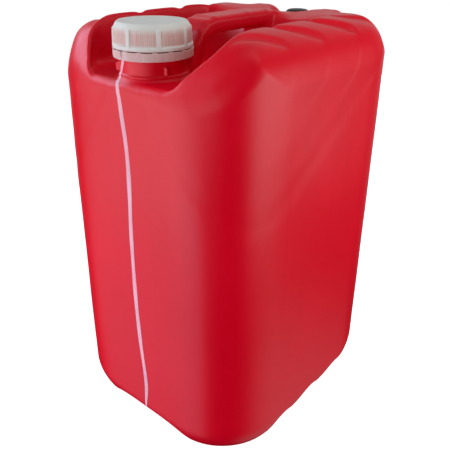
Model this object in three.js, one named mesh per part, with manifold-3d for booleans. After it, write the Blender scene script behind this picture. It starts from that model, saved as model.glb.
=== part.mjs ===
// Stackable plastic jerrycan, about 25 litres.
// Millimetres, +Z up. Origin: centre of the base. The pouring neck is at the -Y end.
//
// Blow-moulded hollow shell with a carrying handle, a threaded pouring neck at
// the front and a small threaded vent neck at the rear; a pale sight stripe let
// into the front wall; screw cap with sealing wad and tamper ring; vent cap with
// its gasket. Both caps run on real right-hand threads.

import * as THREE from 'three';
import { mergeVertices } from 'three/addons/utils/BufferGeometryUtils.js';
import Module from 'manifold-3d';

const wasm = await Module();
wasm.setup();

// ---------------------------------------------------------------- dimensions
const HALF_W = 124;            // half width, X
const HALF_L = 145;            // half length, Y
const CORNER_R = 68;           // vertical corner radius in plan
const WALL = 2.4;              // wall of the shell

const BASE_ROUND = 42;         // height of the rounding at the base edge
const EDGE_INSET = 43;         // how far base and shoulder roundings reach inwards
const SHOULDER_Z = 385;        // where the shoulder starts to round over
const TOP_Z = 434.5;           // crest of the side ridges
const REAR_TOP_Z = 428;        // crest at the rear end

const PUSH_UP = 3;             // depth of the recessed panel in the base
const PUSH_UP_HALF = [62, 82];
const FOOT_GAP_HALF = 56;      // half width of the raised edge between the feet

const RECESS_FLOOR_Z = 391;    // floor around the pouring neck
const WELL_FLOOR_Z = 376;      // floor of the finger well under the handle
const WELL_HALF = 72;          // half width of the finger well
const WELL_Y = [-74, 92];
const RAMP_Y = [26, 84];         // the well's floor rises to the rear between these
const RAMP_TOP_Z = 432;
const RECESS_MOUTH_HALF = 46;  // half width of the neck recess at the front wall

const DENT_Y = [-98, -38, 22]; // middles of the scoops in each ridge
const DENT_X = 113;
const DENT_Z = 436;
const DENT_R = [22, 30, 14];
const BASE_DENT_Y = [-52, 4, 60];

const HANDLE_HALF = 15;        // half width of the handle
const HANDLE_TOP_Z = 434;
const HANDLE_BAR = 15;         // height of the grip bar
const HANDLE_WALL = 2.4;

const NECK_Y = -106;           // axis of the pouring neck
const NECK_BORE_R = 25;
const NECK_R = 28;             // root of the neck thread
const NECK_TOP_Z = 432.4;
const THREAD_PITCH = 6;
const THREAD_TURNS = 1.5;
const THREAD_R = 1.5;          // radius of the round thread bead
const NECK_THREAD_Z = 421;

const RING_R = 34.5;           // tamper ring
const RING_IN_R = 31.2;
const RING_Z = [408.2, 415.5];

const CAP_Z = [416.0, 437.1];
const CAP_R = 33;
const CAP_IN_R = 30.7;
const CAP_TOP_R = 30;
const CAP_PLATE = 2.5;
const CAP_RIB_COUNT = 8;
const CAP_RIB_W = 3.4;
const CAP_RIB_R = 33.9;
const CAP_RIB_START = -35;     // degrees from +X of the first broad rib

const WAD_R = 30.2;
const WAD_Z = [432.7, 434.3];

const VENT_Y = 117;            // axis of the vent neck
const VENT_POCKET_R = 29;
const VENT_FLOOR_Z = 405;
const VENT_BORE_R = 8;
const VENT_R = 10.5;
const VENT_TOP_Z = 424.6;
const VENT_PITCH = 4;
const VENT_TURNS = 1.5;
const VENT_THREAD_R = 1.0;
const VENT_THREAD_Z = 416.5;

const VCAP_Z = [412.4, 429.0];
const VCAP_R = 15.5;
const VCAP_IN_R = 12.3;
const VGASKET_Z = [424.9, 426.2];

const STRIPE_W = 6;            // sight stripe, let into the front wall
const STRIPE_DEPTH = 1.2;
const STRIPE_GAP = 0.3;
const STRIPE_PATH = [          // middle of the stripe: X at height Z
  [0.5, 52], [4.2, 70], [1.4, 108], [-1.1, 164], [-1.5, 216],
  [-0.3, 265], [3.2, 317], [2.6, 342], [-0.8, 360], [-2.6, 374],
];

const RED = 0xc8141f;
const STRIPE_PINK = 0xe6b0c0;
const CAP_WHITE = 0xd9d8d2;
const BLACK = 0x141414;
const WAD_WHITE = 0xf0efe8;

// ------------------------------------------------------------------- helpers
// A closed solid from a geometry: shared corners merged, faces turned outwards.
function solid(geometry) {
  let g = geometry.index ? geometry.toNonIndexed() : geometry.clone();
  for (const name of Object.keys(g.attributes)) {
    if (name !== 'position') g.deleteAttribute(name);
  }
  g = mergeVertices(g, 1e-4);
  const p = g.attributes.position.array;
  const src = g.index.array;
  const tris = [];
  let volume = 0;
  for (let i = 0; i < src.length; i += 3) {
    const [a, b, c] = [src[i], src[i + 1], src[i + 2]];
    if (a === b || b === c || c === a) continue;
    tris.push(a, b, c);
    volume += p[3 * a] * (p[3 * b + 1] * p[3 * c + 2] - p[3 * b + 2] * p[3 * c + 1])
      - p[3 * a + 1] * (p[3 * b] * p[3 * c + 2] - p[3 * b + 2] * p[3 * c])
      + p[3 * a + 2] * (p[3 * b] * p[3 * c + 1] - p[3 * b + 1] * p[3 * c]);
  }
  if (volume < 0) {
    for (let i = 0; i < tris.length; i += 3) {
      [tris[i + 1], tris[i + 2]] = [tris[i + 2], tris[i + 1]];
    }
  }
  return new wasm.Manifold(new wasm.Mesh({
    numProp: 3,
    vertProperties: new Float32Array(p),
    triVerts: new Uint32Array(tris),
  }));
}

function geometryOf(manifold) {
  const m = manifold.getMesh();
  const g = new THREE.BufferGeometry();
  const n = m.numProp;
  const count = m.vertProperties.length / n;
  const pos = new Float32Array(3 * count);
  for (let i = 0; i < count; i++) {
    for (let k = 0; k < 3; k++) pos[3 * i + k] = m.vertProperties[n * i + k];
  }
  g.setAttribute('position', new THREE.BufferAttribute(pos, 3));
  g.setIndex(new THREE.BufferAttribute(new Uint32Array(m.triVerts), 1));
  g.computeVertexNormals();
  return g;
}

function roundedRect(hx, hy, r) {
  const s = new THREE.Shape();
  s.moveTo(hx, -hy + r);
  s.lineTo(hx, hy - r);
  s.absarc(hx - r, hy - r, r, 0, Math.PI / 2);
  s.lineTo(-hx + r, hy);
  s.absarc(-hx + r, hy - r, r, Math.PI / 2, Math.PI);
  s.lineTo(-hx, -hy + r);
  s.absarc(-hx + r, -hy + r, r, Math.PI, 1.5 * Math.PI);
  s.lineTo(hx - r, -hy);
  s.absarc(hx - r, -hy + r, r, 1.5 * Math.PI, 2 * Math.PI);
  return s;
}

// Turned piece about a vertical axis; profile points are [radius, z].
function turned(profile, segments, x = 0, y = 0) {
  const g = new THREE.LatheGeometry(profile.map(([r, z]) => new THREE.Vector2(r, z)), segments);
  g.rotateX(Math.PI / 2);
  g.translate(x, y, 0);
  return solid(g);
}

// Upright prism of a plan shape between two heights.
function prism(shape, z0, z1, curveSegments = 6) {
  const g = new THREE.ExtrudeGeometry(shape, { depth: z1 - z0, bevelEnabled: false, curveSegments });
  g.translate(0, 0, z0);
  return solid(g);
}

// Prism of a side profile drawn in (y, z), reaching from x0 to x1.
function sidePrism(shape, x0, x1, curveSegments = 4) {
  const g = new THREE.ExtrudeGeometry(shape, { depth: x1 - x0, bevelEnabled: false, curveSegments });
  g.applyMatrix4(new THREE.Matrix4().set(
    0, 0, 1, x0,
    1, 0, 0, 0,
    0, 1, 0, 0,
    0, 0, 0, 1,
  ));
  return solid(g);
}

function ellipsoid(cx, cy, cz, rx, ry, rz) {
  const g = new THREE.SphereGeometry(1, 16, 10);
  g.rotateX(Math.PI / 2);
  g.scale(rx, ry, rz);
  g.translate(cx, cy, cz);
  return solid(g);
}

// Right-hand helical bead of round section.
class Helix extends THREE.Curve {
  constructor(radius, pitch, turns, z0) {
    super();
    Object.assign(this, { radius, pitch, turns, z0 });
  }
  getPoint(t, target = new THREE.Vector3()) {
    const a = 2 * Math.PI * this.turns * t;
    return target.set(this.radius * Math.cos(a), this.radius * Math.sin(a), this.z0 + this.pitch * this.turns * t);
  }
}

function thread(radius, pitch, turns, z0, bead, y) {
  const section = new THREE.Shape();
  section.absarc(0, 0, bead, 0, 2 * Math.PI);
  const g = new THREE.ExtrudeGeometry(section, {
    steps: Math.round(28 * turns),
    curveSegments: 4,
    bevelEnabled: false,
    extrudePath: new Helix(radius, pitch, turns, z0),
  });
  g.translate(0, y, 0);
  return solid(g);
}

const group = new THREE.Group();
group.name = 'jerrycan';

function piece(name, manifold, color, roughness, extra = {}) {
  const mesh = new THREE.Mesh(
    geometryOf(manifold),
    new THREE.MeshStandardMaterial({ color, roughness, metalness: 0, ...extra }),
  );
  mesh.name = name;
  group.add(mesh);
  return mesh;
}

// --------------------------------------------------------------- body, outside
// Upright block with rounded vertical corners, base rounding and shoulders.
// The shoulder rounding is stretched to its own height and falls to the rear.
function block(inset) {
  const size = EDGE_INSET - inset;
  const height = BASE_ROUND - inset;
  const g = new THREE.ExtrudeGeometry(roundedRect(HALF_W - inset, HALF_L - inset, CORNER_R - inset), {
    depth: SHOULDER_Z - BASE_ROUND,
    bevelEnabled: true,
    bevelThickness: height,
    bevelSize: size,
    bevelOffset: -size,
    bevelSegments: 5,
    curveSegments: 7,
  });
  g.translate(0, 0, BASE_ROUND);
  const p = g.attributes.position;
  for (let i = 0; i < p.count; i++) {
    const z = p.getZ(i);
    if (z <= SHOULDER_Z) continue;
    const y = p.getY(i);
    const back = THREE.MathUtils.clamp((y - 30) / (HALF_L - 30), 0, 1);
    const crest = THREE.MathUtils.lerp(TOP_Z, REAR_TOP_Z, back) - inset;
    p.setZ(i, SHOULDER_Z + (z - SHOULDER_Z) / height * (crest - SHOULDER_Z));
  }
  return solid(g);
}

// Plan of the recess around the pouring neck, open to the front, widening from
// the front wall to the width of the finger well.
function recessPlan(grow) {
  const s = new THREE.Shape();
  const m = RECESS_MOUTH_HALF + grow;
  const w = WELL_HALF + 3 + grow;
  s.moveTo(-m, -HALF_L - 20);
  s.lineTo(m, -HALF_L - 20);
  s.lineTo(m, -HALF_L + 2);
  s.quadraticCurveTo(m + 2, -HALF_L + 14, w - 8, -118);
  s.quadraticCurveTo(w, -108, w, -96);
  s.lineTo(w, WELL_Y[0] + 16 + grow);
  s.lineTo(-w, WELL_Y[0] + 16 + grow);
  s.lineTo(-w, -96);
  s.quadraticCurveTo(-w, -108, -w + 8, -118);
  s.quadraticCurveTo(-m - 2, -HALF_L + 14, -m, -HALF_L + 2);
  s.closePath();
  return s;
}

// Plan of the finger well under the handle, narrowing to the rear.
function wellPlan(grow) {
  const s = new THREE.Shape();
  const w = WELL_HALF + 3 + grow;
  const [y0, y1] = [WELL_Y[0] - grow, WELL_Y[1] + grow];
  s.moveTo(-w + 14, y0);
  s.lineTo(w - 14, y0);
  s.quadraticCurveTo(w, y0, w, y0 + 14);
  s.lineTo(w, y1 - 44);
  s.quadraticCurveTo(w, y1, w - 36, y1);
  s.lineTo(-w + 36, y1);
  s.quadraticCurveTo(-w, y1, -w, y1 - 44);
  s.lineTo(-w, y0 + 14);
  s.quadraticCurveTo(-w, y0, -w + 14, y0);
  return s;
}

// Side outline of the finger well in (y, z): level floor, then a ramp up to the deck.
function wellProfile(grow) {
  const slope = (RAMP_TOP_Z - WELL_FLOOR_Z) / (RAMP_Y[1] - RAMP_Y[0]);
  const drop = grow * Math.hypot(1, slope);
  const start = RAMP_Y[0] + (drop - grow) / slope;
  const s = new THREE.Shape();
  s.moveTo(-120, WELL_FLOOR_Z - grow);
  s.lineTo(start, WELL_FLOOR_Z - grow);
  s.lineTo(RAMP_Y[1] + 20, RAMP_TOP_Z + 20 * slope - drop);
  s.lineTo(RAMP_Y[1] + 20, TOP_Z + 40);
  s.lineTo(-120, TOP_Z + 40);
  s.closePath();
  return s;
}

// Plan of the pocket around the vent neck, open to the rear.
function ventPlan(grow) {
  const s = new THREE.Shape();
  const r = VENT_POCKET_R + grow;
  s.moveTo(r, VENT_Y);
  s.lineTo(r, HALF_L + 20);
  s.lineTo(-r, HALF_L + 20);
  s.lineTo(-r, VENT_Y);
  s.absarc(0, VENT_Y, r, Math.PI, 2 * Math.PI);
  return s;
}

// Everything taken out of the block from above and below, grown by `grow`.
function hollows(grow) {
  const high = TOP_Z + 30;
  let cut = prism(recessPlan(grow), RECESS_FLOOR_Z - grow, high)
    .add(prism(wellPlan(grow), WELL_FLOOR_Z - grow - 5, high).intersect(sidePrism(wellProfile(grow), -HALF_W, HALF_W)))
    .add(prism(ventPlan(grow), VENT_FLOOR_Z - grow, high, 8))
    .add(prism(roundedRect(PUSH_UP_HALF[0] + grow, PUSH_UP_HALF[1] + grow, 24), -20, PUSH_UP + grow));
  for (const side of [-1, 1]) {
    for (const y of DENT_Y) {
      cut = cut.add(ellipsoid(side * DENT_X, y, DENT_Z, DENT_R[0] + grow, DENT_R[1] + grow, DENT_R[2] + grow));
    }
    for (const y of BASE_DENT_Y) {
      cut = cut.add(ellipsoid(side * 112, y, -1, 24 + grow, 24 + grow, 6 + grow));
    }
    cut = cut.add(ellipsoid(0, side * 136, -1, FOOT_GAP_HALF + grow, 24 + grow, 6 + grow));
  }
  return cut;
}

// Side outline of the handle in (y, z): front leg, grip bar and rear leg, with
// the finger opening left out. `inset` shrinks it to the hollow inside.
function handleOutline(inset) {
  const top = HANDLE_TOP_Z - inset;
  const under = HANDLE_TOP_Z - HANDLE_BAR + inset;
  const foot = 360;
  const s = new THREE.Shape();
  s.moveTo(-72 + inset, foot);
  s.lineTo(-60 + inset, 424);
  s.quadraticCurveTo(-58 + inset, top, -46 + inset, top);
  s.lineTo(66 - inset, top);
  s.quadraticCurveTo(76 - inset, top, 80 - inset, 420);
  s.lineTo(84 - inset, foot);
  s.lineTo(54 + inset, foot);
  s.lineTo(53 + inset, 408);
  s.quadraticCurveTo(52 + inset, under, 42 + inset, under);
  s.lineTo(-38 - inset, under);
  s.quadraticCurveTo(-43 - inset, under, -46 - inset, 412);
  s.lineTo(-60 - inset, foot);
  s.closePath();
  return s;
}

// Turned outside of the pouring neck: flared foot, support bead, ratchet
// shoulder below the tamper ring and the plain wall that carries the thread.
const neckOutside = turned([
  [0, 380], [36, 380], [35, 390], [30.5, 394.5], [29.8, 397], [31.4, 398], [31.4, 400.2], [29.6, 401.4],
  [29.3, 411.8], [30.2, 412.4], [30.2, 414.0], [NECK_R, 415.2], [NECK_R, NECK_TOP_Z], [0, NECK_TOP_Z],
], 32, 0, NECK_Y);
const neckBore = turned([[0, 370], [NECK_BORE_R, 370], [NECK_BORE_R, NECK_TOP_Z + 5], [0, NECK_TOP_Z + 5]], 32, 0, NECK_Y);
const neckThread = thread(NECK_R + 0.3, THREAD_PITCH, THREAD_TURNS, NECK_THREAD_Z, THREAD_R, NECK_Y);

const ventOutside = turned([
  [0, 396], [16, 396], [15, 405], [12.4, 407], [14, 408], [14, 410.4], [VENT_R, 411.4],
  [VENT_R, VENT_TOP_Z], [0, VENT_TOP_Z],
], 24, 0, VENT_Y);
const ventBore = turned([[0, 390], [VENT_BORE_R, 390], [VENT_BORE_R, VENT_TOP_Z + 5], [0, VENT_TOP_Z + 5]], 24, 0, VENT_Y);
const ventThread = thread(VENT_R + 0.2, VENT_PITCH, VENT_TURNS, VENT_THREAD_Z, VENT_THREAD_R, VENT_Y);

const outside = block(0)
  .subtract(hollows(0))
  .add(sidePrism(handleOutline(0), -HANDLE_HALF, HANDLE_HALF))
  .add(neckOutside).add(neckThread)
  .add(ventOutside).add(ventThread);

// ---------------------------------------------------------------- body, inside
// The same outline one wall further in, open through both necks; the handle is
// hollow and opens into the body through its legs.
const handleHollow = sidePrism(handleOutline(HANDLE_WALL), -HANDLE_HALF + HANDLE_WALL, HANDLE_HALF - HANDLE_WALL);
const inside = block(WALL)
  .subtract(hollows(WALL))
  .add(handleHollow)
  .add(neckBore)
  .add(ventBore);

// Groove in the front wall for the sight stripe.
function stripeShape(halfWidth, ends) {
  const s = new THREE.Shape();
  const first = STRIPE_PATH[0];
  const last = STRIPE_PATH[STRIPE_PATH.length - 1];
  const path = [[first[0], first[1] - ends], ...STRIPE_PATH.slice(1, -1), [last[0], last[1] + ends]];
  s.moveTo(path[0][0] + halfWidth, path[0][1]);
  for (const [x, z] of path.slice(1)) s.lineTo(x + halfWidth, z);
  for (const [x, z] of [...path].reverse()) s.lineTo(x - halfWidth, z);
  s.closePath();
  return s;
}

function frontPrism(shape, y0, y1) {
  const g = new THREE.ExtrudeGeometry(shape, { depth: y1 - y0, bevelEnabled: false });
  g.applyMatrix4(new THREE.Matrix4().set(
    1, 0, 0, 0,
    0, 0, -1, y1,
    0, 1, 0, 0,
    0, 0, 0, 1,
  ));
  return solid(g);
}

const stripeGroove = frontPrism(stripeShape(STRIPE_W / 2 + STRIPE_GAP, STRIPE_GAP), -HALF_L - 5, -HALF_L + STRIPE_DEPTH + STRIPE_GAP);
const stripe = frontPrism(stripeShape(STRIPE_W / 2, 0), -HALF_L, -HALF_L + STRIPE_DEPTH);

piece('body_shell', outside.subtract(inside).subtract(stripeGroove), RED, 0.42);
piece('sight_stripe', stripe, STRIPE_PINK, 0.4);

// -------------------------------------------------------------- pouring neck cap
// Tamper ring: stays on the neck, with a vertical tear slit at the front.
let ring = turned([
  [RING_IN_R, RING_Z[0]], [RING_R - 0.6, RING_Z[0]], [RING_R, RING_Z[0] + 0.8], [RING_R, RING_Z[1] - 0.4],
  [RING_R - 0.4, RING_Z[1]], [RING_IN_R, RING_Z[1]], [RING_IN_R, RING_Z[0]],
], 48, 0, NECK_Y);
const slit = new THREE.BoxGeometry(0.8, 8, 5);
slit.translate(-1.8, NECK_Y - RING_R, RING_Z[1] - 1.2);
ring = ring.subtract(solid(slit));
piece('tamper_ring', ring, CAP_WHITE, 0.45);

// Screw cap: skirt with broad grip ribs, flange bead, chamfered top, thread inside.
let cap = turned([
  [0, CAP_Z[1]], [CAP_TOP_R, CAP_Z[1]], [CAP_R - 0.8, CAP_Z[1] - 2.2], [CAP_R, CAP_Z[1] - 3.4],
  [CAP_R, CAP_Z[0] + 3.9], [RING_R - 0.3, CAP_Z[0] + 3.2], [RING_R - 0.2, CAP_Z[0]],
  [CAP_IN_R, CAP_Z[0]], [CAP_IN_R, CAP_Z[1] - CAP_PLATE], [0, CAP_Z[1] - CAP_PLATE],
], 48, 0, NECK_Y);
for (let i = 0; i < CAP_RIB_COUNT; i++) {
  const rib = new THREE.BoxGeometry(3, CAP_RIB_W, 15.2);
  rib.translate(CAP_RIB_R - 1.5, 0, CAP_Z[0] + 3.4 + 7.2);
  rib.rotateZ(THREE.MathUtils.degToRad(CAP_RIB_START + i * 360 / CAP_RIB_COUNT));
  rib.translate(0, NECK_Y, 0);
  cap = cap.add(solid(rib));
}
cap = cap.add(thread(CAP_IN_R - 0.3, THREAD_PITCH, THREAD_TURNS, NECK_THREAD_Z - THREAD_PITCH / 2, THREAD_R, NECK_Y));
piece('main_cap', cap, CAP_WHITE, 0.45);

// Sealing wad between the cap's top plate and the mouth of the neck.
piece('cap_wad', turned([
  [0, WAD_Z[0]], [WAD_R, WAD_Z[0]], [WAD_R, WAD_Z[1]], [0, WAD_Z[1]],
], 32, 0, NECK_Y), WAD_WHITE, 0.8);

// ------------------------------------------------------------------- vent cap
let ventCap = turned([
  [0, VCAP_Z[1]], [VCAP_R - 1.8, VCAP_Z[1]], [VCAP_R - 0.4, VCAP_Z[1] - 1.2], [VCAP_R - 0.2, VCAP_Z[1] - 3],
  [VCAP_R, VCAP_Z[0]], [VCAP_IN_R, VCAP_Z[0]], [VCAP_IN_R, VCAP_Z[1] - 2.5], [0, VCAP_Z[1] - 2.5],
], 32, 0, VENT_Y);
ventCap = ventCap.add(thread(VCAP_IN_R - 0.2, VENT_PITCH, VENT_TURNS, VENT_THREAD_Z - VENT_PITCH / 2, VENT_THREAD_R, VENT_Y));
piece('vent_cap', ventCap, BLACK, 0.5);

// Flat sealing washer inside the vent cap.
piece('vent_gasket', turned([
  [5, VGASKET_Z[0]], [11.8, VGASKET_Z[0]], [11.8, VGASKET_Z[1]], [5, VGASKET_Z[1]], [5, VGASKET_Z[0]],
], 24, 0, VENT_Y), BLACK, 0.8);

export default group;
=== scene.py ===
"""Plastic jerrycan: looks of every piece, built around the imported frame.

Lengths in this file are millimetres in the part's own frame (+Z up, pouring
neck at the -Y end) and are turned into metres when a mesh is made.
"""
import math

import bpy
import numpy as np
from mathutils import Matrix


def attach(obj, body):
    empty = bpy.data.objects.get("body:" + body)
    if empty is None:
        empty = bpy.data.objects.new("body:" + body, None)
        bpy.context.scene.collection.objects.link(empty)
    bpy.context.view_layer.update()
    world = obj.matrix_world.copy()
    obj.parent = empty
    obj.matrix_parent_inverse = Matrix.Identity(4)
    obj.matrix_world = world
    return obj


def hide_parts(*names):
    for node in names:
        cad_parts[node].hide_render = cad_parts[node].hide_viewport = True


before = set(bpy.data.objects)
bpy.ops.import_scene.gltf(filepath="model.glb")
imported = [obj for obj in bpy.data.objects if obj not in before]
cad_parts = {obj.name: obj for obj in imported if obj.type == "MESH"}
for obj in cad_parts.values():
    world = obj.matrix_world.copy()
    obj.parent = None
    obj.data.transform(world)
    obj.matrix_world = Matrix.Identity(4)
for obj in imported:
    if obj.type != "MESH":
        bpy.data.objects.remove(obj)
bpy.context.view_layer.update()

MM = 0.001
f32 = np.float32

# ------------------------------------------------------------------ dimensions
HALF_W, HALF_L, CORNER_R = 124.0, 145.0, 79.3
DRAFT_W, DRAFT_L = 1.6, 1.0          # wall lean: half-size lost per 200 mm of height
TOP_FRONT, TOP_REAR = 435.2, 432.0   # crest of the side ridges
WALL = 2.4

NECK_Y = -106.0
NECK_R, NECK_BORE, NECK_TOP = 28.0, 25.0, 432.4
PITCH, TURNS, BEAD, THREAD_Z = 6.0, 1.5, 1.5, 421.0

VENT_Y = 117.0
VENT_R, VENT_BORE, VENT_TOP = 10.5, 8.0, 424.6
V_PITCH, V_TURNS, V_BEAD, V_THREAD_Z = 4.0, 1.5, 1.0, 416.5

RECESS_FLOOR, WELL_FLOOR = 390.5, 376.0
# scoops along the outer edge of each ridge: middle of the steep wall in plan, depth there
SCOOPS = ((96.5, -64.0, 4.6), (96.5, -10.0, 5.0), (96.0, 46.0, 5.0), (94.5, 92.0, 2.6))
BASE_DENT_Y = (-52.0, 4.0, 60.0)


# ------------------------------------------------------------- implicit helpers
def smin(a, b, k):
    h = np.maximum(k - np.abs(a - b), 0.0) / k
    return np.minimum(a, b) - h * h * (k * 0.25)


def smax(a, b, k):
    h = np.maximum(k - np.abs(a - b), 0.0) / k
    return np.maximum(a, b) + h * h * (k * 0.25)


def step(a, b, t):
    s = np.clip((t - a) / (b - a), 0.0, 1.0)
    return s * s * (3.0 - 2.0 * s)


def soft_max(a, b, k):
    """Like smax, with a blend that starts and ends without a step in curvature."""
    h = np.maximum(k - np.abs(a - b), 0.0) / k
    return np.maximum(a, b) + h * h * h * k / 6.0


def round_corner(u, v, r):
    """Distance to the rounded convex corner of two half-planes u<r, v<r."""
    return np.sqrt(np.maximum(u, 0.0) ** 2 + np.maximum(v, 0.0) ** 2) + np.minimum(np.maximum(u, v), 0.0) - r


def easy_corner(u, v, r, p=2.5):
    """Corner like round_corner, but its curvature grows out of the flat sides without a step."""
    m = np.maximum(u, 0.0) ** p + np.maximum(v, 0.0) ** p
    return m ** (1.0 / p) + np.minimum(np.maximum(u, v), 0.0) - r


def smooth_loop(points, n=7):
    """Closed Catmull-Rom curve through the points."""
    p = np.asarray(points, float)
    m = len(p)
    out = []
    for i in range(m):
        a, b, c, d = p[i - 1], p[i], p[(i + 1) % m], p[(i + 2) % m]
        for k in range(n):
            t = k / n
            out.append(0.5 * ((2 * b) + (c - a) * t + (2 * a - 5 * b + 4 * c - d) * t * t + (3 * b - a - 3 * c + d) * t ** 3))
    return np.array(out)


def sd_polygon(poly, px, py):
    """Signed distance in the plane to a closed polygon, negative inside."""
    d = (px - poly[0, 0]) ** 2 + (py - poly[0, 1]) ** 2
    sign = np.ones(np.broadcast(px, py).shape, bool)
    n = len(poly)
    for i in range(n):
        vi, vj = poly[i], poly[i - 1]
        ex, ey = vj - vi
        wx, wy = px - vi[0], py - vi[1]
        t = np.clip((wx * ex + wy * ey) / (ex * ex + ey * ey + 1e-12), 0.0, 1.0)
        d = np.minimum(d, (wx - ex * t) ** 2 + (wy - ey * t) ** 2)
        c1, c2, c3 = py >= vi[1], py < vj[1], ex * wy > ey * wx
        sign ^= (c1 & c2 & c3) | (~c1 & ~c2 & ~c3)
    return np.where(sign, 1.0, -1.0) * np.sqrt(d)


def sd_path(path, px, py):
    """Distance in the plane to a path whose points are (x, y, half thickness)."""
    best = None
    for a, b in zip(path[:-1], path[1:]):
        ex, ey = b[0] - a[0], b[1] - a[1]
        wx, wy = px - a[0], py - a[1]
        t = np.clip((wx * ex + wy * ey) / (ex * ex + ey * ey), 0.0, 1.0)
        d = np.sqrt((wx - ex * t) ** 2 + (wy - ey * t) ** 2) - (a[2] + (b[2] - a[2]) * t)
        best = d if best is None else smin(best, d, 1.5)
    return best


# Plan of the hollow between the two ridges: mouth at the front wall, flare
# behind it, straight sides along the handle, closing towards the rear deck.
CHANNEL_HALF = [
    (46, -190), (46, -165), (46.5, -147), (55.5, -131.5), (66, -119.5), (72.5, -110), (75, -96), (74.6, -60), (74.5, -20),
    (74.5, 20), (73, 48), (66, 72), (52, 88), (34, 95), (12, 97)]
CHANNEL = smooth_loop(CHANNEL_HALF + [(-x, y) for x, y in reversed(CHANNEL_HALF)], 5)

# Side line of the handle: (y, z, half thickness).
HANDLE = [
    (-80, 360, 8.5), (-68.5, 392, 8.0), (-60.5, 409, 7.6), (-54.5, 419.5, 7.5), (-47.5, 425.3, 7.5), (-38, 427.3, 7.5),
    (10, 427.6, 7.4), (40, 427.4, 7.3), (51, 426.2, 7.2), (60, 422.6, 7.0), (70, 416.5, 7.0)]
HANDLE_WEB = [(44, 420, 9.0), (50, 400, 13.0), (54, 360, 16.0)]


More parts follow.
